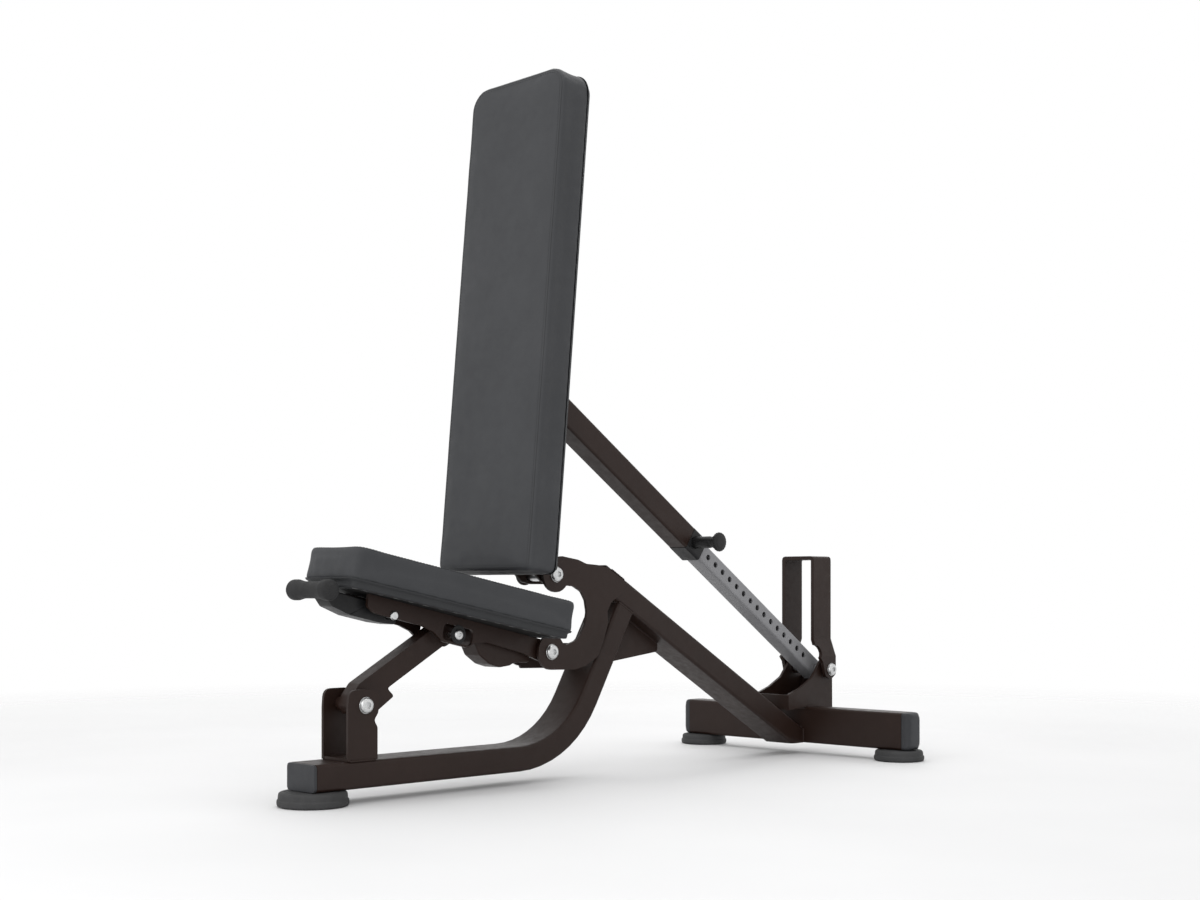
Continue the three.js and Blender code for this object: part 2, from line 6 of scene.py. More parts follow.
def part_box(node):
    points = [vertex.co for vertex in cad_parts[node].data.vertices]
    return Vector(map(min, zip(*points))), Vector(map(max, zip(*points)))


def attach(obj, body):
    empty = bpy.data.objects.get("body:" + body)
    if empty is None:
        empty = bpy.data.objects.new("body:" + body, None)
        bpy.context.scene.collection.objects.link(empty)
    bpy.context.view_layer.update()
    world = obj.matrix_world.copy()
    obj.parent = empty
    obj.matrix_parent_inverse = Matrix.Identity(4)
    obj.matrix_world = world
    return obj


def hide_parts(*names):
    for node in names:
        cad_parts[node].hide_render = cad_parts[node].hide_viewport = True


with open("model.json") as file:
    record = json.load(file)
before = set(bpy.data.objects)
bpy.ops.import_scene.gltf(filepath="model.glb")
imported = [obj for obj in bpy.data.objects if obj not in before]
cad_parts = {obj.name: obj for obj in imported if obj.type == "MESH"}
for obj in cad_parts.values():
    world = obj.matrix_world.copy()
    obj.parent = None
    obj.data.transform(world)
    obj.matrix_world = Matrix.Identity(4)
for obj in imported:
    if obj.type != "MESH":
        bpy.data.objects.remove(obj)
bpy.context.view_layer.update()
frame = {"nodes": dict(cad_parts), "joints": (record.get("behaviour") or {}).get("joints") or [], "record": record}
scene = bpy.context.scene
nodes = frame["nodes"]
joint = {j["name"]: j for j in frame["joints"]}
random.seed(7)
MM = 0.001


# ------------------------------------------------------------------ camera, light, floor
XC = 0.644850
cam_data = bpy.data.cameras.new("Camera")
cam = bpy.data.objects.new("Camera", cam_data)
scene.collection.objects.link(cam)
cam.location = (-1.58879 - XC, -2.25858, 0.36178)
cam.rotation_euler = (math.pi / 2, 0, -math.atan2(0.7070, 0.7072))
cam_data.lens = 49.5
cam_data.sensor_width = 36.0
cam_data.shift_y = (586.447 - 450) / 1200
cam_data.clip_end = 100
scene.camera = cam
scene.view_settings.view_transform = "Standard"

world = bpy.data.worlds.new("World")
scene.world = world
world.use_nodes = True
world.node_tree.nodes["Background"].inputs["Color"].default_value = (1, 1, 1, 1)
world.node_tree.nodes["Background"].inputs["Strength"].default_value = 1.0


def area(name, loc, target, size, power, size_y=None):
    d = bpy.data.lights.new(name, "AREA")
    d.energy = power
    d.shape = "RECTANGLE"
    d.size = size
    d.size_y = size_y or size
    o = bpy.data.objects.new(name, d)
    o.location = loc
    o.rotation_euler = (Vector(target) - Vector(loc)).to_track_quat("-Z", "Y").to_euler()
    scene.collection.objects.link(o)
    o.visible_camera = False
    return o


area("key", (-3.0, 0.2, 1.9), (0, 0, 0.6), 0.9, 21, 2.2)
area("front", (-2.7, -2.1, 1.1), (-0.2, 0, 0.6), 0.3, 14, 2.0)
area("top", (0.2, 0.2, 3.2), (0, 0, 0.3), 2.6, 26)
area("rim", (2.4, 1.4, 1.8), (0.1, 0, 0.6), 1.2, 10)

# ------------------------------------------------------------------ materials


class Nodes:
    def __init__(self, name):
        self.m = bpy.data.materials.new(name)
        self.m.use_nodes = True
        self.t = self.m.node_tree
        self.b = self.t.nodes["Principled BSDF"]

    def n(self, kind, **props):
        x = self.t.nodes.new(kind)
        for k, v in props.items():
            setattr(x, k, v)
        return x

    def link(self, a, b):
        self.t.links.new(a, b)

    def coord(self, scale=1.0, stretch=(1, 1, 1)):
        c = self.n("ShaderNodeTexCoord")
        mp = self.n("ShaderNodeMapping")
        mp.inputs["Scale"].default_value = tuple(scale * s for s in stretch)
        self.link(c.outputs["Object"], mp.inputs["Vector"])
        return mp.outputs["Vector"]

    def noise(self, scale, detail=3, rough=0.5, stretch=(1, 1, 1)):
        x = self.n("ShaderNodeTexNoise")
        x.inputs["Scale"].default_value = scale
        x.inputs["Detail"].default_value = detail
        x.inputs["Roughness"].default_value = rough
        self.link(self.coord(1.0, stretch), x.inputs["Vector"])
        return x.outputs["Fac"]

    def voronoi(self, scale, feature="F1", out="Distance", stretch=(1, 1, 1)):
        x = self.n("ShaderNodeTexVoronoi")
        x.feature = feature
        x.inputs["Scale"].default_value = scale
        self.link(self.coord(1.0, stretch), x.inputs["Vector"])
        return x.outputs[out]

    def ramp(self, fac, stops):
        r = self.n("ShaderNodeValToRGB")
        els = r.color_ramp.elements
        while len(els) < len(stops):
            els.new(0.5)
        for e, (p, c) in zip(els, stops):
            e.position = p
            e.color = (*c, 1) if len(c) == 3 else c
        self.link(fac, r.inputs["Fac"])
        return r.outputs["Color"]

    def rng(self, fac, a, b, c, d):
        r = self.n("ShaderNodeMapRange")
        for k, v in zip(("From Min", "From Max", "To Min", "To Max"), (a, b, c, d)):
            r.inputs[k].default_value = v
        self.link(fac, r.inputs["Value"])
        return r.outputs["Result"]

    def mix(self, fac, a, b, kind="MIX"):
        x = self.n("ShaderNodeMix", data_type="RGBA", blend_type=kind)
        if isinstance(fac, float):
            x.inputs["Factor"].default_value = fac
        else:
            self.link(fac, x.inputs["Factor"])
        for sock, v in ((x.inputs[6], a), (x.inputs[7], b)):
            if isinstance(v, tuple):
                sock.default_value = (*v, 1)
            else:
                self.link(v, sock)
        return x.outputs[2]

    def bump(self, height, strength, dist, normal=None):
        b = self.n("ShaderNodeBump")
        b.inputs["Strength"].default_value = strength
        b.inputs["Distance"].default_value = dist
        self.link(height, b.inputs["Height"])
        if normal:
            self.link(normal, b.inputs["Normal"])
        return b.outputs["Normal"]

    def set(self, **kw):
        for k, v in kw.items():
            k = k.replace("_", " ")
            if isinstance(v, (int, float, tuple)):
                self.b.inputs[k].default_value = v if not (isinstance(v, tuple) and len(v) == 3) else (*v, 1)
            else:
                self.link(v, self.b.inputs[k])
        return self.m


def powder(name, dark, light, rough=(0.38, 0.52), spec=0.22):
    q = Nodes(name)
    big = q.noise(5.5, 4, 0.55)
    col = q.ramp(big, [(0.32, dark), (0.7, light)])
    # rubbed, slightly dusty patches
    rub = q.ramp(q.noise(34, 6, 0.7), [(0.60, (0, 0, 0)), (0.78, (1, 1, 1))])
    rubf = q.rng(rub, 0, 1, 0, 0.16)
    col = q.mix(rubf, col, tuple(min(1, c * 1.9 + 0.007) for c in light))
    peel = q.noise(520, 3, 0.55)
    grit = q.noise(2100, 2, 0.6)
    nrm = q.bump(grit, 0.22, 0.0003, q.bump(peel, 0.30, 0.0006))
    q.set(Base_Color=col, Roughness=q.rng(q.noise(60, 4, 0.6), 0.3, 0.7, *rough), Metallic=0.0,
          Specular_IOR_Level=spec, Normal=nrm)
    return q.m


M_FRAME = powder("frame_powder_coat", (0.0152, 0.0072, 0.0050), (0.0202, 0.0102, 0.0074))
M_BAR = powder("bar_grey_coat", (0.188, 0.188, 0.196), (0.226, 0.226, 0.235), (0.34, 0.48), 0.35)


def vinyl(name, dark, light):
    q = Nodes(name)
    cells = q.voronoi(620, "DISTANCE_TO_EDGE")
    pore = q.rng(cells, 0.0, 0.16, 0.0, 1.0)
    fine = q.noise(1500, 3, 0.6)
    wide = q.noise(7, 4, 0.55)
    col = q.ramp(wide, [(0.3, dark), (0.72, light)])
    col = q.mix(q.rng(pore, 0, 1, 0.22, 0.0), col, tuple(c * 0.55 for c in dark))
    scuff = q.ramp(q.noise(22, 7, 0.72), [(0.63, (0, 0, 0)), (0.80, (1, 1, 1))])
    col = q.mix(q.rng(scuff, 0, 1, 0, 0.14), col, tuple(c * 1.7 for c in light))
    n1 = q.bump(pore, 0.28, 0.0004)
    n2 = q.bump(fine, 0.12, 0.0003, n1)
    n3 = q.bump(q.noise(26, 3, 0.5), 0.16, 0.0016, n2)
    q.set(Base_Color=col, Roughness=q.rng(q.noise(40, 5, 0.6), 0.3, 0.75, 0.46, 0.62), Normal=n3,
          Specular_IOR_Level=0.24)
    return q.m


M_VINYL = vinyl("charcoal_vinyl", (0.036, 0.0375, 0.0405), (0.044, 0.0455, 0.049))
# darker copy of the charcoal vinyl: painted shade for the hem under the pad and for the welt in the seam crease
M_VINYL_SHADED_COPY = vinyl("charcoal_vinyl_shaded_copy", (0.026, 0.027, 0.029), (0.033, 0.034, 0.036))


def moulded(name, dark, light, rough=(0.5, 0.7), grain=900, bump=0.25):
    q = Nodes(name)
    col = q.ramp(q.noise(16, 4, 0.6), [(0.3, dark), (0.72, light)])
    dust = q.ramp(q.noise(70, 6, 0.7), [(0.62, (0, 0, 0)), (0.8, (1, 1, 1))])
    col = q.mix(q.rng(dust, 0, 1, 0, 0.18), col, tuple(c * 1.8 + 0.01 for c in light))
    nrm = q.bump(q.noise(grain, 3, 0.6), bump, 0.0004, q.bump(q.noise(120, 2, 0.5), 0.12, 0.0008))
    q.set(Base_Color=col, Roughness=q.rng(q.noise(50, 4, 0.6), 0.3, 0.7, *rough), Normal=nrm, Specular_IOR_Level=0.24)
    return q.m


M_RUBBER = moulded("foot_rubber", (0.032, 0.032, 0.0325), (0.047, 0.047, 0.048), (0.62, 0.82), 700, 0.35)
M_CAP = moulded("cap_plastic", (0.027, 0.028, 0.031), (0.038, 0.039, 0.043), (0.42, 0.58), 1100, 0.22)
M_GRIP = moulded("grip_rubber", (0.0175, 0.0175, 0.018), (0.025, 0.025, 0.026), (0.6, 0.8), 1300, 0.4)
M_BLACK = moulded("black_plastic", (0.008, 0.008, 0.0085), (0.014, 0.014, 0.0145), (0.36, 0.52), 1200, 0.2)
M_BOARD = moulded("backing_board", (0.006, 0.006, 0.006), (0.012, 0.0115, 0.011), (0.7, 0.9), 300, 0.3)
M_THREAD = moulded("thread", (0.030, 0.031, 0.032), (0.045, 0.046, 0.048), (0.7, 0.85), 2500, 0.3)
M_HOLE = moulded("bore_shadow", (0.010, 0.010, 0.010), (0.014, 0.014, 0.014), (0.8, 0.9), 800, 0.1)


def metal(name, dark, light, rough, spangle=90):
    q = Nodes(name)
    sp = q.voronoi(spangle * 6, "F1", "Distance")
    col = q.ramp(sp, [(0.2, light), (0.85, dark)])
    stain = q.noise(130, 5, 0.65)
    col = q.mix(q.rng(stain, 0.55, 0.8, 0.0, 0.35), col, tuple(c * 0.62 for c in dark))
    nrm = q.bump(q.noise(1500, 3, 0.6), 0.12, 0.0002, q.bump(q.noise(240, 2, 0.5, (1, 6, 1)), 0.1, 0.0003))
    q.set(Base_Color=col, Roughness=q.rng(stain, 0.3, 0.7, rough - 0.07, rough + 0.10), Metallic=1.0, Normal=nrm)
    return q.m


M_ZINC = metal("bright_zinc", (0.52, 0.53, 0.54), (0.70, 0.70, 0.69), 0.30)
# staple zinc darkened to dark grey: painted shade for the shadow under the pad
M_STAPLE_PAINTED_SHADE = metal("staple_wire_painted_shade", (0.20, 0.20, 0.20), (0.30, 0.30, 0.295), 0.5)

q = Nodes("studio_floor")
fl = q.ramp(q.noise(1.4, 3, 0.5), [(0.35, (0.70, 0.70, 0.703)), (0.7, (0.73, 0.73, 0.733))])
q.set(Base_Color=fl, Roughness=0.7, Specular_IOR_Level=0.25, Normal=q.bump(q.noise(300, 2, 0.5), 0.03, 0.0005))
far = q.n("ShaderNodeVectorMath", operation="LENGTH")
q.link(q.coord(1.0), far.inputs[0])
clear = q.n("ShaderNodeBsdfTransparent")
fade = q.n("ShaderNodeMixShader")
q.link(q.rng(far.outputs["Value"], 1.3, 3.2, 0.0, 1.0), fade.inputs["Fac"])
q.link(q.b.outputs["BSDF"], fade.inputs[1])
q.link(clear.outputs["BSDF"], fade.inputs[2])
q.link(fade.outputs["Shader"], q.t.nodes["Material Output"].inputs["Surface"])
M_FLOOR = q.m

SLOT_MAT = {"frame_paint": M_FRAME, "rubber": M_RUBBER, "cap_plastic": M_CAP, "zinc": M_ZINC, "upholstery": M_VINYL,
            "board": M_BOARD, "bar_paint": M_BAR, "black_plastic": M_BLACK}

# ------------------------------------------------------------------ floor
bm = bmesh.new()
bmesh.ops.create_grid(bm, x_segments=8, y_segments=8, size=4)
me = bpy.data.meshes.new("studio_floor")
bm.to_mesh(me)
bm.free()
floor = bpy.data.objects.new("studio_floor", me)
floor.location.z = -0.0002
scene.collection.objects.link(floor)
me.materials.append(M_FLOOR)

# ------------------------------------------------------------------ CAD nodes keep their shape; softened edges and finish only
node_slot = {s["node"]: s["material_slot"] for s in frame["record"]["subparts"]}
BEVEL = {"frame_paint": 0.9, "cap_plastic": 1.2, "black_plastic": 0.8, "zinc": 0.4, "bar_paint": 0.6}
SHARP = {"main_tube": 1.4, "diagonal_tube": 1.4, "rear_cross_tube": 1.4, "back_rail_left": 2.6, "back_rail_right": 2.6, "rear_handle": 1.5,
         "seat_strut": 1.6, "seat_latch_housing": 3.0, "seat_lever": 2.2}
for name, o in nodes.items():
    o.data.materials.clear()
    o.data.materials.append(SLOT_MAT[node_slot[name]])
    for p in o.data.polygons:
        p.use_smooth = True
    w = o.modifiers.new("weld", "WELD")
    w.merge_threshold = 2e-5
    d = o.modifiers.new("planar", "DECIMATE")
    d.decimate_type = "DISSOLVE"
    d.angle_limit = math.radians(0.6)
    b = o.modifiers.new("bevel", "BEVEL")
    b.width = SHARP.get(name, BEVEL.get(node_slot[name], 0.8)) * MM
    b.segments = 3
    b.limit_method = "ANGLE"
    b.angle_limit = math.radians(50)
    b.use_clamp_overlap = True
    wn = o.modifiers.new("normals", "WEIGHTED_NORMAL")
    wn.weight = 60
    wn.keep_sharp = False

# ------------------------------------------------------------------ local frames, as the design lays them out (mm in, metres out)
SC = Matrix.Scale(MM, 4)


def local(jname, deg):
    return Matrix.Translation(Vector(joint[jname]["pos_m"])) @ Matrix.Rotation(math.radians(deg), 4, "Y") @ SC


RECLINE, TILT, STRUT, SSTRUT = 5.42, 12.2, 33.588, -29.44
LB = Matrix.Translation((-XC, 0, 0)) @ SC
LBACK = local("back_recline", RECLINE)
LSEAT = local("seat_tilt", TILT)
LSTRUT = local("bar_tilt", STRUT)
LSS = local("strut_swing", SSTRUT)
P, S, B, F = (joint[n]["pos_m"] for n in ("back_recline", "seat_tilt", "bar_tilt", "strut_swing"))


def make(name, verts, faces, mat, body, M=None, smooth=True, slot=None, replaces=(), mods=True):
    me = bpy.data.meshes.new(name)
    me.from_pydata([tuple(v) for v in verts], [], faces)
    if M is not None:
        me.transform(M)
    bmx = bmesh.new()
    bmx.from_mesh(me)
    bmesh.ops.recalc_face_normals(bmx, faces=bmx.faces)
    bmx.to_mesh(me)
    bmx.free()
    me.materials.append(mat)
    o = bpy.data.objects.new(name, me)
    scene.collection.objects.link(o)
    for p in me.polygons:
        p.use_smooth = smooth
    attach(o, body)
    if replaces:
        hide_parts(*replaces)
    return o


def sharpen(o, deg=35):
    """Marks edges sharper than deg, so that smooth shading stops there."""
    bmx = bmesh.new()
    bmx.from_mesh(o.data)
    lim = math.radians(deg)
    for e in bmx.edges:
        e.smooth = not (len(e.link_faces) == 2 and e.calc_face_angle(0) > lim)
    bmx.to_mesh(o.data)
    bmx.free()
    return o


def lathe(profile, seg=48, wobble=None):
    """Closed turned solid about Z. profile is [radius, height], starting and ending on the axis."""
    verts, faces, rows = [], [], []
    for k, (r, h) in enumerate(profile):
        if r < 1e-6:
            rows.append([len(verts)])
            verts.append((0, 0, h))
        else:
            row = []
            for i in range(seg):
                a = 2 * math.pi * i / seg
                rr = r * (wobble(a, k, r) if wobble else 1)
                row.append(len(verts))
                verts.append((rr * math.cos(a), rr * math.sin(a), h))
            rows.append(row)
    for a, b in zip(rows, rows[1:]):
        for i in range(seg):
            j = (i + 1) % seg
            if len(a) == 1 and len(b) == 1:
                continue
            if len(a) == 1:
                faces.append((a[0], b[i], b[j]))
            elif len(b) == 1:
                faces.append((a[i], a[j], b[0]))
            else:
                faces.append((a[i], a[j], b[j], b[i]))
    return verts, faces


TO_Y = Matrix(((1, 0, 0, 0), (0, 0, 1, 0), (0, -1, 0, 0), (0, 0, 0, 1)))  # a lathe's Z becomes +Y


def soften(profile, r=0.6, n=2):
    """Rounds the corners of a profile off the axis."""
    out = [profile[0]]
    for a, b, c in zip(profile, profile[1:], profile[2:]):
        va = Vector((a[0] - b[0], a[1] - b[1])); vc = Vector((c[0] - b[0], c[1] - b[1]))
        la, lc = va.length, vc.length
        if la < 1e-6 or lc < 1e-6:
            continue
        d = min(r, la * 0.45, lc * 0.45)
        va.normalize(); vc.normalize()
        for k in range(n + 1):
            t = k / n
            s = 1 - t
            out.append((b[0] + va.x * d * s * s + vc.x * d * t * t, b[1] + va.y * d * s * s + vc.y * d * t * t))
    out.append(profile[-1])
    return out


def join_lists(parts):
    verts, faces = [], []
    for v, f in parts:
        o = len(verts)
        verts += [tuple(x) for x in v]
        faces += [tuple(i + o for i in g) for g in f]
    return verts, faces


def moved(part, M):
    return [M @ Vector(v) for v in part[0]], part[1]


# ------------------------------------------------------------------ bolts: low domed heads with a hex socket, washers, lock nuts
def hex_at(r, h, seg):
    """A hexagonal ring of seg points at height h, r across corners' radius."""
    pts = []
    for i in range(seg):
        a = 2 * math.pi * i / seg
        k = math.cos(math.pi / 6) / math.cos((a % (math.pi / 3)) - math.pi / 6)
        pts.append((r * k * math.cos(a), r * k * math.sin(a), h))
    return pts


def bolt_head(R, T, seg=48):
    """Head standing in -Z from z = 0; socket opens at -Z."""
    prof = [(R, 0), (R, -T * 0.32), (R * 0.985, -T * 0.42), (R * 0.93, -T * 0.62), (R * 0.82, -T * 0.82), (R * 0.66, -T * 0.96), (R * 0.52, -T), (R * 0.47, -T)]
    verts, rows = [], []
    rows.append([0]); verts.append((0, 0, 0))
    for r, h in prof:
        rows.append(list(range(len(verts), len(verts) + seg)))
        verts += [(r * math.cos(2 * math.pi * i / seg), r * math.sin(2 * math.pi * i / seg), h) for i in range(seg)]
    for rr, h in ((R * 0.43, -T * 0.98), (R * 0.42, -T * 0.93), (R * 0.42, -T * 0.45), (R * 0.40, -T * 0.42)):
        rows.append(list(range(len(verts), len(verts) + seg)))
        verts += hex_at(rr, h, seg)
    rows.append([len(verts)]); verts.append((0, 0, -T * 0.38))
    faces = []
    for a, b in zip(rows, rows[1:]):
        for i in range(seg):
            j = (i + 1) % seg
            if len(a) == 1:
                faces.append((a[0], b[i], b[j]))
            elif len(b) == 1:
                faces.append((a[i], a[j], b[0]))
            else:
                faces.append((a[i], a[j], b[j], b[i]))
    return verts, faces


def nut(R, T, seg=48):
    """Nut standing in +Z from z = 0 with a domed collar; R across corners' radius."""
    rows, verts = [[0]], [(0, 0, 0)]
    for r, h, hexy in ((R * 0.93, 0, 0), (R * 0.97, T * 0.04, 1), (R, T * 0.10, 1), (R, T * 0.58, 1), (R * 0.96, T * 0.66, 1), (R * 0.84, T * 0.70, 0), (R * 0.80, T * 0.74, 0), (R * 0.79, T * 0.9, 0), (R * 0.72, T * 0.99, 0), (R * 0.6, T, 0), (R * 0.54, T * 0.99, 0), (R * 0.53, T * 0.86, 0)):
        rows.append(list(range(len(verts), len(verts) + seg)))
        verts += hex_at(r, h, seg) if hexy else [(r * math.cos(2 * math.pi * i / seg), r * math.sin(2 * math.pi * i / seg), h) for i in range(seg)]
    rows.append([len(verts)]); verts.append((0, 0, T * 0.84))
    faces = []
    for a, b in zip(rows, rows[1:]):
        for i in range(seg):
            j = (i + 1) % seg
            if len(a) == 1:
                faces.append((a[0], b[i], b[j]))
            elif len(b) == 1:
                faces.append((a[i], a[j], b[0]))
            else:
                faces.append((a[i], a[j], b[j], b[i]))
    return verts, faces


def cyl(r, z0, z1, seg=32, c=0.4):
    return lathe([(0, z0), (r - c, z0), (r, z0 + c), (r, z1 - c), (r - c, z1), (0, z1)], seg)


def washer(ro, ri, z0, z1, seg=40):
    c = 0.25
    prof = [(ri, z0), (ro - c, z0), (ro, z0 + c), (ro, z1 - c), (ro - c, z1), (ri, z1)]
    verts, faces = [], []
    for r, h in prof:
        verts += [(r * math.cos(2 * math.pi * i / seg), r * math.sin(2 * math.pi * i / seg), h) for i in range(seg)]
    n = len(prof)
    for k in range(n):
        for i in range(seg):
            j = (i + 1) % seg
            a, b = k * seg, ((k + 1) % n) * seg
            faces.append((a + i, a + j, b + j, b + i))
    return verts, faces


def bolt_set(bolt, nutn, body, M, x, z, y_head, head_r, head_t, shank_r, y_nut, nut_r, nut_t, y_end):
    """A bolt along Y at local x, z: head on the -Y side seated at y_head, nut seated at y_nut."""
    T = M @ Matrix.Translation((x, 0, z)) @ TO_Y
    parts = [moved(bolt_head(head_r, head_t - 1.2), Matrix.Translation((0, 0, y_head - 1.4)) @ Matrix.Rotation(0.3, 4, "Z")),
             moved(washer(head_r + 0.9, shank_r + 0.2, y_head - 1.35, y_head - 0.05), Matrix.Identity(4)),
             cyl(shank_r, y_head - 1.5, y_end, 28, 0.5)]
    o = make(bolt, *join_lists(parts), M_ZINC, body, T, slot="zinc", replaces=[bolt])
    o.name = bolt + "_fine"
    sharpen(o, 30)
    parts = [moved(nut(nut_r, nut_t - 1.2), Matrix.Translation((0, 0, y_nut + 1.4)) @ Matrix.Rotation(0.2, 4, "Z")),
             moved(washer(nut_r + 0.8, shank_r + 0.2, y_nut + 0.05, y_nut + 1.35), Matrix.Identity(4))]
    o = make(nutn, *join_lists(parts), M_ZINC, body, T, slot="zinc", replaces=[nutn])
    o.name = nutn + "_fine"
    sharpen(o, 30)


def loc(p):
    """A pivot in the base's own millimetres."""
    return (p[0] + XC) * 1000, p[2] * 1000


for bolt, nutn, p, yh, hr, yn, ye in (("back_pivot_bolt", "back_pivot_nut", P, -45.4, 13.6, 45.4, 59), ("seat_pivot_bolt", "seat_pivot_nut", S, -45.4, 13.6, 45.4, 59),
                                      ("seat_strut_bolt", "seat_strut_nut", F, -37.6, 13.2, 37.6, 50), ("base_pivot_bolt", "base_pivot_nut", B, -58.1, 12.8, 58.1, 72)):
    x, z = loc(p)
    bolt_set(bolt, nutn, "base", LB, x, z, yh, hr, 7.2, 6, yn, 11.6, 10.5, ye)
bolt_set("strut_top_bolt", "strut_top_nut", "backrest", LBACK, -19.59, 331.05, -31.1, 8.6, 5.2, 5, 31.1, 8.8, 8.2, 42)
bolt_set("strut_slide_pin", "strut_pin_nut", "seat_strut", LSS, 231.5, 0, -35.4, 9.6, 5.6, 6, 35.4, 9.9, 7.6, 45)
o = make("slide_washers", *join_lists([washer(16.5, 6.2, -36.9, -35.15), washer(16.5, 6.2, 35.15, 36.9)]), M_BLACK, "seat_strut", LSS @ Matrix.Translation((231.5, 0, 0)) @ TO_Y, slot="black_plastic")
sharpen(o, 30)

# ------------------------------------------------------------------ feet
def foot(node, centre, r, h):
    def tread(a, k, rr):
        return 1.0
    prof = [(0, 0.6), (r * 0.30, 0.6), (r * 0.31, 0), (r * 0.46, 0), (r * 0.47, 0.7), (r * 0.52, 0.7), (r * 0.53, 0), (r * 0.68, 0), (r * 0.69, 0.7), (r * 0.74, 0.7), (r * 0.75, 0),
            (r - 4.5, 0), (r - 1.6, 1.0), (r - 0.3, 2.9), (r, 4.6), (r, h * 0.40), (r - 0.5, h * 0.46), (r - 1.9, h * 0.50), (r - 2.1, h * 0.56), (r - 2.5, h - 5), (r - 3.2, h - 2.6), (r - 5.2, h - 0.8), (r - 8, h - 0.15),
            (r - 12, h), (r - 13, h - 1.0), (r - 16, h - 1.0), (r - 17, h), (0, h)]
    v, f = lathe(soften(prof, 0.5, 2), 96)
    o = make(node + "_fine", v, f, M_RUBBER, "base", Matrix.Translation(centre) @ SC, slot="rubber", replaces=[node])
    sharpen(o, 50)


lo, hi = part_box("front_foot")
foot("front_foot", ((lo.x + hi.x) / 2, 0, 0), (hi.x - lo.x) * 500, hi.z * 1000)
for s in ("left", "right"):
    lo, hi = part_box("rear_foot_" + s)
    foot("rear_foot_" + s, ((lo.x + hi.x) / 2, (lo.y + hi.y) / 2, 0), (hi.x - lo.x) * 500, hi.z * 1000)

# ------------------------------------------------------------------ knob and pin housing
TP = LSTRUT @ Matrix.Translation((-490, 0, 0)) @ TO_Y
knob = [(0, -92.4), (9, -92.4), (12.4, -92.2), (13.2, -91.5), (14.0, -91.4), (16.8, -91.2), (18.6, -90.2), (19.4, -88.4), (19.4, -86.2), (18.6, -84.4), (16.8, -83.0), (14.2, -82.2), (13.6, -81.2), (13.6, -76.9), (12.0, -76.9), (12.0, -87.1), (0, -87.1)]
v, f = lathe(soften(knob, 0.5), 120, lambda a, k, r: 1 - (0.028 * (0.5 - 0.5 * math.cos(20 * a)) ** 2 if r > 16 else 0))
o = make("pin_knob_fine", v, f, M_BLACK, "pin", TP, slot="black_plastic", replaces=["pin_knob"])
sharpen(o, 50)
hous = [(0, -77.9), (6.4, -77.9), (6.6, -78), (9.2, -78), (10.6, -76.8), (11, -75.4), (11, -70), (10.4, -69.6), (10.4, -68.6), (11, -68.2), (11, -66), (11.6, -64.6), (12, -63.4), (12, -30), (12, -19.9), (0, -19.9)]
v, f = lathe(soften(hous, 0.4), 64)
o = make("pin_housing_fine", v, f, M_BLACK, "sleeve", TP, slot="black_plastic", replaces=["pin_housing", "pin_spring"])
sharpen(o, 40)
pin = [(0, -90), (4, -90), (4, -80.5), (5.5, -80.4), (5.5, -22.5), (4.5, -20.2), (3.4, -19.6), (0, -19.6)]
v, f = lathe(soften(pin, 0.3), 40)
o = make("pop_pin_fine", v, f, M_ZINC, "pin", TP, slot="zinc", replaces=["pop_pin"])
sharpen(o, 40)

# ------------------------------------------------------------------ seat grip: foam dumbbell grip
TG = LSEAT @ Matrix.Translation((-512.5, 0, 7)) @ TO_Y
prof = [(0, -56.4), (8, -56.4)]
N = 60
for i in range(N + 1):
    y = -56.4 + 112.8 * i / N
    t = abs(y) / 56.4
    r = 14.2 + 3.3 * min(1, max(0, (t - 0.30) / 0.38)) ** 1.5
    if t > 0.86:
        r = 17.5 - 9.5 * (1 - math.sqrt(max(0, 1 - ((t - 0.86) / 0.14) ** 2)))
    prof.append((r, y))
prof += [(8, 56.4), (0, 56.4)]
v, f = lathe(prof, 64)
o = make("seat_grip_fine", v, f, M_GRIP, "seat_lever", TG, slot="rubber", replaces=["seat_grip"])
sharpen(o, 60)


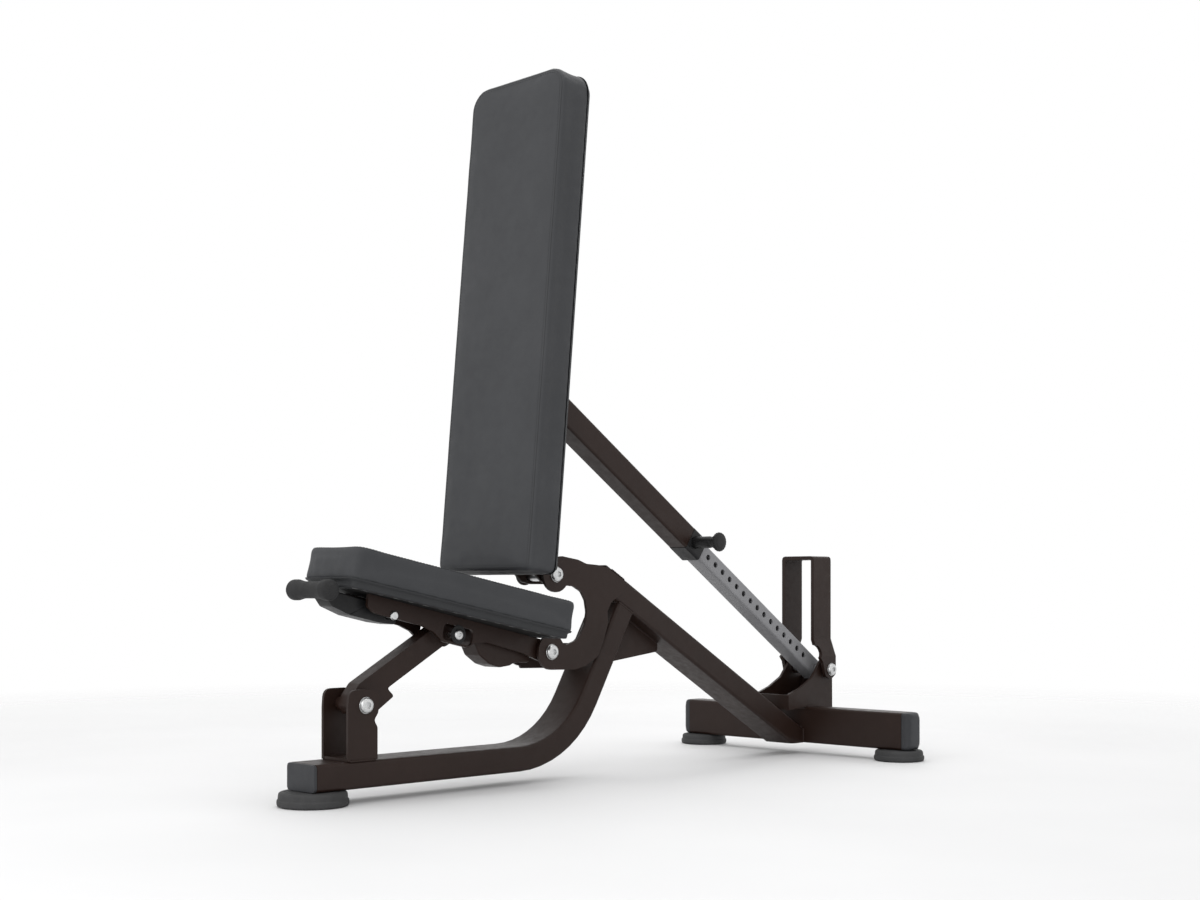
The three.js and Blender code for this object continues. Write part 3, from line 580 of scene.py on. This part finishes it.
# ------------------------------------------------------------------ perforated bar, with round holes through its two side walls
def perforated_bar():
    w, r, seg, hr = 19.0, 5.0, 32, 6.1
    x_end, x0 = 12.0, -516.0
    first, pitch, n = 58.0, 27.0, 17
    flat = w - r
    verts, faces, idx = [], [], {}

    def V(x, y, z):
        k = (round(x, 3), round(y, 3), round(z, 3))
        if k not in idx:
            idx[k] = len(verts)
            verts.append(k)
        return idx[k]

    # side walls at y = +-w, z from -flat to flat, cells of one pitch
    xs = [x_end, 9.0, -9.0] + [-(first - pitch / 2)]
    holes = [-(first + pitch * i) for i in range(n)]
    for side in (-1, 1):
        y = side * w

        def cell(xa, xb, cx, rad):
            hw = (xa - xb) / 2
            mx = (xa + xb) / 2
            ring, outer = [], []
            for i in range(seg):
                a = 2 * math.pi * i / seg
                ring.append(V(cx + rad * math.cos(a), y, rad * math.sin(a)))
                ca, sa = math.cos(a), math.sin(a)
                k = min(hw / abs(ca) if abs(ca) > 1e-9 else 1e9, flat / abs(sa) if abs(sa) > 1e-9 else 1e9)
                px, pz = mx + ca * k, sa * k
                outer.append(V(px, y, pz))
            corners = [V(xa, y, flat), V(xb, y, flat), V(xb, y, -flat), V(xa, y, -flat)]
            for i in range(seg):
                j = (i + 1) % seg
                a, b = outer[i], outer[j]
                pa, pb = verts[a], verts[b]
                poly = [ring[i], ring[j], b]
                if abs(pa[0] - pb[0]) > 1e-4 and abs(pa[2] - pb[2]) > 1e-4:  # the cell's corner lies between them
                    cxr = xa if max(pa[0], pb[0]) > mx + hw - 1e-3 else xb
                    czr = flat if max(pa[2], pb[2]) > flat - 1e-3 else -flat
                    poly.append(V(cxr, y, czr))
                poly.append(a)
                poly = [p for k, p in enumerate(poly) if p != poly[k - 1]]
                if len(set(poly)) >= 3:
                    faces.append(tuple(poly))

        cell(x_end, -12.0, 0.0, 6.3)
        cell(-12.0, -(first - pitch / 2), -28.25, 0.0001) if False else None
        a, b, c, d = V(-12.0, y, flat), V(-(first - pitch / 2), y, flat), V(-(first - pitch / 2), y, -flat), V(-12.0, y, -flat)
        faces.append((a, b, c, d))
        for h in holes:
            cell(h + pitch / 2, h - pitch / 2, h, hr)
        last = holes[-1] - pitch / 2
        if last > x0:
            faces.append((V(last, y, flat), V(x0, y, flat), V(x0, y, -flat), V(last, y, -flat)))
    # the two other walls and the rounded corners as plain strips over the same stations
    outline = []
    for cy, cz, a0 in ((flat, flat, 0), (-flat, flat, 90), (-flat, -flat, 180), (flat, -flat, 270)):
        for i in range(7):
            a = math.radians(a0 + 15 * i)
            outline.append((cy + r * math.cos(a), cz + r * math.sin(a)))
    keep = []
    for i in range(28):
        (ya, za), (yb, zb) = outline[i], outline[(i + 1) % 28]
        if abs(abs(ya) - w) < 1e-6 and abs(abs(yb) - w) < 1e-6:
            continue
        keep.append((ya, za, yb, zb))
    for ya, za, yb, zb in keep:
        faces.append((V(x_end, ya, za), V(x0, ya, za), V(x0, yb, zb), V(x_end, yb, zb)))
    return verts, faces


v, f = perforated_bar()
bar = make("adjuster_bar_fine", v, f, M_BAR, "bar", None, slot="bar_paint", replaces=["adjuster_bar"])
bmx = bmesh.new()
bmx.from_mesh(bar.data)
# long strips meet the cells' many vertices; the loop below leaves them unsplit, and only the face normals are
# recalculated
for e in list(bmx.edges):
    pass
bmesh.ops.recalc_face_normals(bmx, faces=bmx.faces)
bmx.to_mesh(bar.data)
bmx.free()
sol = bar.modifiers.new("wall", "SOLIDIFY")
sol.thickness = 3.0
sol.offset = -1
sol.use_even_offset = False
dg = bpy.context.evaluated_depsgraph_get()
me2 = bpy.data.meshes.new_from_object(bar.evaluated_get(dg))
bar.modifiers.clear()
bar.data = me2
bar.data.transform(LSTRUT)
for p in bar.data.polygons:
    p.use_smooth = True
sharpen(bar, 32)


# ------------------------------------------------------------------ cushions
def rounded_outline(pts, step=6.0):
    """pts: [u, v, corner radius] counter-clockwise; returns a dense outline."""
    out, n = [], len(pts)
    for i in range(n):
        u, v_, r = pts[i]
        a = Vector(pts[i - 1][:2]); b = Vector(pts[(i + 1) % n][:2]); c = Vector((u, v_))
        da, db = (a - c).normalized(), (b - c).normalized()
        half = math.acos(max(-1, min(1, da.dot(db)))) / 2
        d = r / math.tan(half)
        bis = (da + db).normalized()
        centre = c + bis * (r / math.sin(half))
        p0, p1 = c + da * d, c + db * d
        a0 = math.atan2(p0.y - centre.y, p0.x - centre.x)
        a1 = math.atan2(p1.y - centre.y, p1.x - centre.x)
        while a1 < a0:
            a1 += 2 * math.pi
        if a1 - a0 > math.pi:
            a0 += 2 * math.pi
        k = max(4, int(abs(a1 - a0) * r / step))
        for j in range(k + 1):
            t = a0 + (a1 - a0) * j / k
            out.append((centre.x + r * math.cos(t), centre.y + r * math.sin(t)))
    dense = []
    for (x0, y0), (x1, y1) in zip(out, out[1:] + out[:1]):
        L = math.hypot(x1 - x0, y1 - y0)
        k = max(1, round(L / step))
        for j in range(k):
            dense.append((x0 + (x1 - x0) * j / k, y0 + (y1 - y0) * j / k))
    return dense


def inset(outline, d):
    n = len(outline)
    res = []
    for i in range(n):
        x0, y0 = outline[i - 1]; x1, y1 = outline[(i + 1) % n]
        L = math.hypot(x1 - x0, y1 - y0) or 1
        nx, ny = -(y1 - y0) / L, (x1 - x0) / L  # inward for a counter-clockwise outline
        res.append((outline[i][0] + nx * d, outline[i][1] + ny * d))
    return res


def cushion(name, node, body, pts, t0, t1, M, edge=9.0, cap=0.0016, crown=2.0):
    """A boxed foam pad. Local u, v span the face, t runs from the board (t0) to the face (t1), all mm. M maps (u, v, t) to the scene."""
    side_in = 2.2
    out = rounded_outline(pts, 7.0)
    rows = []
    h = t1 - t0
    rows.append((inset(out, 3.5), t0))
    rows.append((inset(out, 0.8 + side_in * 0.2), t0 + 2.5))
    for t in (0.18, 0.36, 0.54, 0.70):
        rows.append((inset(out, side_in * (1 - (2 * t - 0.9) ** 2) * 0.55 + 0.8), t0 + h * t))
    for k in range(6):
        a = math.pi / 2 * k / 5
        rows.append((inset(out, 0.8 + edge * (1 - math.cos(a))), t1 - 1.5 - edge * (1 - math.sin(a))))
    verts, faces, n = [], [], len(out)
    for o_, t in rows:
        verts += [(x * MM, y * MM, t * MM) for x, y in o_]
    for k in range(len(rows) - 1):
        for i in range(n):
            j = (i + 1) % n
            faces.append((k * n + i, k * n + j, (k + 1) * n + j, (k + 1) * n + i))
    faces.append(tuple(reversed(range(n))))
    faces.append(tuple((len(rows) - 1) * n + i for i in range(n)))
    me = bpy.data.meshes.new(name)
    me.from_pydata(verts, [], faces)
    o = bpy.data.objects.new(name, me)
    scene.collection.objects.link(o)
    me.materials.append(M_VINYL)
    rm = o.modifiers.new("remesh", "REMESH")
    rm.mode = "VOXEL"
    rm.voxel_size = 0.0048
    rm.use_smooth_shade = True
    sm = o.modifiers.new("smooth", "SMOOTH")
    sm.iterations = 3
    sm.factor = 0.5
    dg = bpy.context.evaluated_depsgraph_get()
    base = bpy.data.meshes.new_from_object(o.evaluated_get(dg))
    o.modifiers.clear()
    o.data = base
    g = o.vertex_groups.new(name="board")
    g.add([v.index for v in base.vertices if v.co.z < (t0 + 3.2) * MM], 1.0, "REPLACE")
    rest = [v.co.copy() for v in base.vertices]
    cl = o.modifiers.new("cloth", "CLOTH")
    s = cl.settings
    s.quality = 5
    s.mass = 0.35
    s.tension_stiffness = 22
    s.compression_stiffness = 22
    s.shear_stiffness = 8
    s.bending_stiffness = 1.2
    s.use_pressure = True
    s.uniform_pressure_force = 4.0
    s.effector_weights.gravity = 0
    s.vertex_group_mass = "board"
    cl.collision_settings.use_self_collision = False
    cl.point_cache.frame_start = 1
    cl.point_cache.frame_end = 20
    for fr in range(1, 21):
        scene.frame_set(fr)
    dg = bpy.context.evaluated_depsgraph_get()
    ev = o.evaluated_get(dg).to_mesh()
    new = [v.co.copy() for v in ev.vertices]
    o.evaluated_get(dg).to_mesh_clear()
    o.modifiers.clear()
    disp = [p - r0 for p, r0 in zip(new, rest)]
    near = [[] for _ in disp]
    for e in base.edges:
        near[e.vertices[0]].append(e.vertices[1])
        near[e.vertices[1]].append(e.vertices[0])
    for _ in range(4):
        disp = [(d + sum((disp[k] for k in nb), Vector())) / (1 + len(nb)) for d, nb in zip(disp, near)]
    for v, r0, d in zip(base.vertices, rest, disp):
        if d.length > cap:
            d = d * (cap / d.length)
        v.co = r0 + d
    scene.frame_set(1)
    # gentle crown, sitting wear and small tension wrinkles that run in from the corners
    us = [p[0] for p in pts]; vs = [p[1] for p in pts]
    uc, vc = (min(us) + max(us)) / 2, (min(vs) + max(vs)) / 2
    hu, hv = (max(us) - min(us)) / 2, (max(vs) - min(vs)) / 2
    for v in o.data.vertices:
        u, w, t = v.co.x / MM, v.co.y / MM, v.co.z / MM
        k = max(0.0, min(1.0, (t - t0) / h))
        fu, fv = (u - uc) / hu, (w - vc) / hv
        face = k ** 3
        top = crown * max(0.0, 1 - fu ** 4) * max(0.0, 1 - fv ** 4) * face
        edge_d = min(1 - abs(fu), 1 - abs(fv))
        pk = 0.5 * noise.noise(Vector((u * 0.018, w * 0.018, 3.1))) * face
        # wrinkles on the side walls, strongest beside the board
        side = (1 - k) * max(0.0, 1 - edge_d * 12)
        wr = 0.35 * side * math.sin((u + w) * 0.21 + 2.2 * noise.noise(Vector((u * 0.02, w * 0.02, 0))))
        v.co.z += (top + pk) * MM
        out_dir = Vector((fu if abs(fu) > abs(fv) else 0, fv if abs(fv) >= abs(fu) else 0, 0))
        if out_dir.length > 0:
            v.co += out_dir.normalized() * wr * MM
        v.co.z = min(v.co.z, (t1 + 6) * MM)
    ss = o.modifiers.new("subdivision", "SUBSURF")
    ss.levels = ss.render_levels = 1
    dg = bpy.context.evaluated_depsgraph_get()
    fin = bpy.data.meshes.new_from_object(o.evaluated_get(dg))
    o.modifiers.clear()
    o.data = fin
    tree = BVHTree.FromPolygons([v.co for v in fin.vertices], [tuple(p.vertices) for p in fin.polygons])
    # sewn edge: a fine welt where the face panel meets the side band, with stitches beside it
    ring = inset(out, edge * 1.15)
    line = []
    for x, y in ring:
        hit = tree.ray_cast(Vector((x * MM, y * MM, (t1 + 40) * MM)), Vector((0, 0, -1)))
        line.append((hit[0], hit[1]) if hit[0] else (Vector((x * MM, y * MM, t1 * MM)), Vector((0, 0, 1))))
    nL = len(line)
    v1, f1 = [], []
    for i in range(nL):
        p, nn = line[i]
        tan = (line[(i + 1) % nL][0] - line[i - 1][0]).normalized()
        sidev = tan.cross(nn).normalized()
        for k in range(6):
            a = 2 * math.pi * k / 6
            v1.append(p + nn * (-0.15 + 0.7 * math.cos(a)) * MM + sidev * 0.8 * math.sin(a) * MM)
    for i in range(nL):
        for k in range(6):
            a, b = i * 6, ((i + 1) % nL) * 6
            f1.append((a + k, a + (k + 1) % 6, b + (k + 1) % 6, b + k))
    # the welt takes the darker vinyl copy, painted shade along the seam
    welt = make(name + "_welt", v1, f1, M_VINYL_SHADED_COPY, body, M, slot="upholstery")
    v2, f2 = [], []
    acc, pitch = 0.0, 0.0062
    ring2 = inset(out, edge * 1.15 + 4.0)
    pts3 = []
    for x, y in ring2:
        hit = tree.ray_cast(Vector((x * MM, y * MM, (t1 + 40) * MM)), Vector((0, 0, -1)))
        if hit[0]:
            pts3.append((hit[0], hit[1]))
    # even steps along the ring
    total, cum = 0.0, [0.0]
    for i in range(len(pts3)):
        total += (pts3[(i + 1) % len(pts3)][0] - pts3[i][0]).length
        cum.append(total)
    count = int(total / pitch)
    k0 = 0
    for s_ in range(count):
        d = total * s_ / count
        while k0 < len(pts3) - 1 and cum[k0 + 1] < d:
            k0 += 1
        a, b = pts3[k0], pts3[(k0 + 1) % len(pts3)]
        t = (d - cum[k0]) / max(1e-9, cum[k0 + 1] - cum[k0])
        p = a[0].lerp(b[0], t)
        nn = a[1].lerp(b[1], t).normalized()
        tan = (b[0] - a[0]).normalized()
        sidev = tan.cross(nn).normalized()
        off = len(v2)
        for z_, rr in ((-2.0, 0.12), (-1.6, 0.34), (0, 0.44), (1.6, 0.34), (2.0, 0.12)):
            for kk in range(5):
                aa = 2 * math.pi * kk / 5
                v2.append(p + tan * z_ * MM + nn * (0.16 + rr * math.cos(aa)) * MM + sidev * rr * math.sin(aa) * MM)
        for q_ in range(4):
            for kk in range(5):
                f2.append((off + q_ * 5 + kk, off + q_ * 5 + (kk + 1) % 5, off + (q_ + 1) * 5 + (kk + 1) % 5, off + (q_ + 1) * 5 + kk))
        f2.append(tuple(off + kk for kk in range(5)))
        f2.append(tuple(off + 20 + kk for kk in range(5)))
    st = make(name + "_stitches", v2, f2, M_THREAD, body, M, slot="upholstery")
    o.data.transform(M)
    for p in o.data.polygons:
        p.use_smooth = True
    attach(o, body)
    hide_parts(node)
    return o


# back pad: u across (Y), v up the back, t towards the sitter
MB = LBACK @ Matrix(((0, 0, -1, 0), (1, 0, 0, 0), (0, 1, 0, 0), (0, 0, 0, 1))) @ Matrix.Scale(1000, 4)
back_pts = [(-129.4, -9.4, 14), (129.4, -9.4, 14), (129.4, 908.4, 42), (-129.4, 908.4, 42)]
cushion("back_cushion", "back_pad", "backrest", back_pts, 78.4, 143.2, MB, edge=7.0, crown=2.0)
# seat pad: u forwards (-x), v across, t up
MS = LSEAT @ Matrix(((-1, 0, 0, 0), (0, -1, 0, 0), (0, 0, 1, 0), (0, 0, 0, 1))) @ Matrix.Scale(1000, 4)
seat_pts = [(26.2, -129.9, 15), (489.2, -72.2, 17), (489.2, 72.2, 17), (26.2, 129.9, 15)]
cushion("seat_cushion", "seat_pad", "seat", seat_pts, 31.2, 88.6, MS, edge=5.5, crown=0.6)


# ------------------------------------------------------------------ backing boards with the vinyl folded over and stapled
def backing(name, node, body, pts, t_out, t_in, M, mat_slot="board"):
    """t_out is the board's free face, t_in the face against the foam."""
    out = inset(rounded_outline(pts, 7.0), 10)
    n = len(out)
    s = 1 if t_in > t_out else -1
    prof = [(0.9, t_out), (0.0, t_out + s * 0.9), (0.0, t_in - s * 0.9), (0.9, t_in)]
    verts, faces = [], []
    for d, t in prof:
        verts += [(x * MM, y * MM, t * MM) for x, y in inset(out, d)]
    for k in range(3):
        for i in range(n):
            j = (i + 1) % n
            faces.append((k * n + i, k * n + j, (k + 1) * n + j, (k + 1) * n + i))
    faces.append(tuple(range(n)))
    faces.append(tuple(3 * n + i for i in range(n)))
    make(name, verts, faces, M_BOARD, body, M, smooth=False, slot=mat_slot, replaces=[node])
    # hem: the vinyl comes round the pad's edge, over the board and lies on its free face
    full = rounded_outline(pts, 5.0)
    n = len(full)
    rows = []
    for d, t in ((1.0, t_in + s * 3.0), (2.6, t_in + s * 0.6), (6.4, t_in - s * 1.0), (8.0, t_in - s * 3.0), (8.2, t_out + s * 2.0), (9.0, t_out - s * 0.4), (11.0, t_out - s * 0.9), (20.0, t_out - s * 0.8), (27.5, t_out - s * 0.7), (28.0, t_out - s * 0.15), (27.5, t_out + s * 0.1)):
        ring_ = inset(full, d)
        row = []
        for i, (x, y) in enumerate(ring_):
            pk = 0.0
            if d > 9:
                pk = 0.45 * noise.noise(Vector((x * 0.09, y * 0.09, d * 0.05)))
                wob = 1.6 * noise.noise(Vector((x * 0.02, y * 0.02, 4))) if d > 20 else 0
                cx, cy = ring_[i]
                x2, y2 = inset(full, d + wob)[i] if False else (cx, cy)
                x, y = x2, y2
            row.append((x * MM, y * MM, (t - s * abs(pk)) * MM))
        rows.append(row)
    verts = [p for row in rows for p in row]
    faces = []
    for k in range(len(rows) - 1):
        for i in range(n):
            j = (i + 1) % n
            faces.append((k * n + i, k * n + j, (k + 1) * n + j, (k + 1) * n + i))
    # the hem takes the darker vinyl copy, painted shade under the pad
    hem = make(name + "_hem", verts, faces, M_VINYL_SHADED_COPY, body, M, slot="upholstery")
    so = hem.modifiers.new("wall", "SOLIDIFY")
    so.thickness = 0.0007
    so.offset = 0
    dg = bpy.context.evaluated_depsgraph_get()
    m3 = bpy.data.meshes.new_from_object(hem.evaluated_get(dg))
    hem.modifiers.clear()
    hem.data = m3
    # staples, in zinc darkened to dark grey as painted shade under the pad
    ring_ = inset(full, 22.0)
    verts, faces = [], []
    acc = 0.0
    for i in range(n):
        x0, y0 = ring_[i]; x1, y1 = ring_[(i + 1) % n]
        acc += math.hypot(x1 - x0, y1 - y0)
        if acc < 26:
            continue
        acc = 0
        L = math.hypot(x1 - x0, y1 - y0) or 1
        tx, ty = (x1 - x0) / L, (y1 - y0) / L
        a = random.uniform(-0.3, 0.3)
        tx, ty = tx * math.cos(a) - ty * math.sin(a), tx * math.sin(a) + ty * math.cos(a)
        nx, ny = -ty, tx
        off = len(verts)
        for l_, (h1, h2) in ((-5.0, (-0.4, 0.9)), (-4.6, (0.6, 1.4)), (4.6, (0.6, 1.4)), (5.0, (-0.4, 0.9))):
            for w_ in (-0.35, 0.35):
                for h_ in (h1, h2):
                    verts.append(((x0 + tx * l_ + nx * w_) * MM, (y0 + ty * l_ + ny * w_) * MM, (t_out - s * (0.4 + h_)) * MM))
        for q_ in range(3):
            b0, b1 = off + q_ * 4, off + (q_ + 1) * 4
            faces += [(b0, b0 + 1, b1 + 1, b1), (b0 + 2, b1 + 2, b1 + 3, b0 + 3), (b0, b1, b1 + 2, b0 + 2), (b0 + 1, b0 + 3, b1 + 3, b1 + 1)]
        faces += [(off, off + 2, off + 3, off + 1), (off + 12, off + 13, off + 15, off + 14)]
    make(name + "_staples", verts, faces, M_STAPLE_PAINTED_SHADE, body, M, smooth=False, slot="zinc")


backing("back_board_fine", "back_board", "backrest", back_pts, 70.6, 78.0, MB)
backing("seat_board_fine", "seat_board", "seat", seat_pts, 20.4, 30.8, MS)


# ------------------------------------------------------------------ weld beads
def bead(name, body, M, lines, r=2.3):
    """Fillet welds: each line is a list of local points (mm)."""
    parts = []
    for line in lines:
        pts = []
        for a, b in zip(line, line[1:]):
            a, b = Vector(a), Vector(b)
            k = max(2, int((b - a).length / 1.1))
            for i in range(k):
                pts.append(a.lerp(b, i / k))
        pts.append(Vector(line[-1]))
        verts, faces = [], []
        for i, p in enumerate(pts):
            t = (pts[min(i + 1, len(pts) - 1)] - pts[max(i - 1, 0)]).normalized()
            up = Vector((0, 0, 1)) if abs(t.z) < 0.9 else Vector((1, 0, 0))
            s1 = t.cross(up).normalized()
            s2 = s1.cross(t)
            end = min(1.0, min(i, len(pts) - 1 - i) / 2 + 0.25)
            rr = r * end * (1 + 0.13 * math.sin(i * 1.35) + 0.08 * noise.noise(p * 0.2))
            for k in range(8):
                a = 2 * math.pi * k / 8
                verts.append(p + s1 * rr * math.cos(a) + s2 * rr * math.sin(a))
        m = len(pts)
        for i in range(m - 1):
            for k in range(8):
                faces.append((i * 8 + k, i * 8 + (k + 1) % 8, (i + 1) * 8 + (k + 1) % 8, (i + 1) * 8 + k))
        faces.append(tuple(range(8)))
        faces.append(tuple((m - 1) * 8 + k for k in range(8)))
        parts.append((verts, faces))
    return make(name, *join_lists(parts), M_FRAME, body, M, slot="frame_paint")


c30, s30 = math.cos(math.radians(30)), math.sin(math.radians(30))
d60 = (0.5, 0.8660254)
e0 = (603.2 + 198.4 * 0.5, 148.25 + 198.4 * 0.866)
inner = (e0[0] - 23.2 * 0.866, e0[1] + 23.2 * 0.5)
outer = (e0[0] + 23.2 * 0.866, e0[1] - 23.2 * 0.5)


def diag_top(x):
    return 350 - (x - 743.8) * 0.57735


lines = []
for y in (-37.6, 37.6):
    lines.append([(inner[0], y, inner[1]), (outer[0], y, outer[1])])
lines.append([(inner[0] + 0.4, -35, inner[1] + 0.2), (inner[0] + 0.4, 35, inner[1] + 0.2)])
lines.append([(outer[0] - 0.2, -35, outer[1] + 0.4), (outer[0] - 0.2, 35, outer[1] + 0.4)])
bead("weld_riser", "base", LB, lines)
lines = []
for y in (-39.4, 39.4):
    lines.append([(1253.2, y, 54), (1253.2, y, 25)])
lines.append([(1253.2, -37, 56.2), (1253.2, 37, 56.2)])
bead("weld_cross", "base", LB, lines, 2.6)
lines = []
for y in (-4.4, 4.4):
    lines.append([(670.5, y, 216), (719, y, 300)])
    lines.append([(730, y, 303.6), (826, y, 248.4)])
bead("weld_gusset", "base", LB, lines, 1.9)
lines = []
for y in (-39.4, 39.4):
    lines.append([(46, y * 0.955, 71.9), (102, y * 0.955, 71.9)])
bead("weld_front_bracket", "base", LB, lines, 1.9)
lines = []
for y in (-45.3, 45.3):
    lines.append([(1257, y, 101.3), (1302, y, 101.3)])
bead("weld_base_bracket", "base", LB, lines, 2.0)
lines = []
for y in (-39.3, 39.3):
    lines.append([(660, y * 1.01, diag_top(660) - 4), (696, y * 1.01, diag_top(696) - 4)])
bead("weld_yoke", "base", LB, lines, 2.0)
lines = []
for y in (-31.9, 31.9):
    for b0, b1 in ((562, 638), (TOP := 331.05 - 40, 331.05 + 40), (50, 124)):
        lines.append([(-68.8, y, b0), (-68.8, y, b1)])
bead("weld_back", "backrest", LBACK, lines, 1.6)
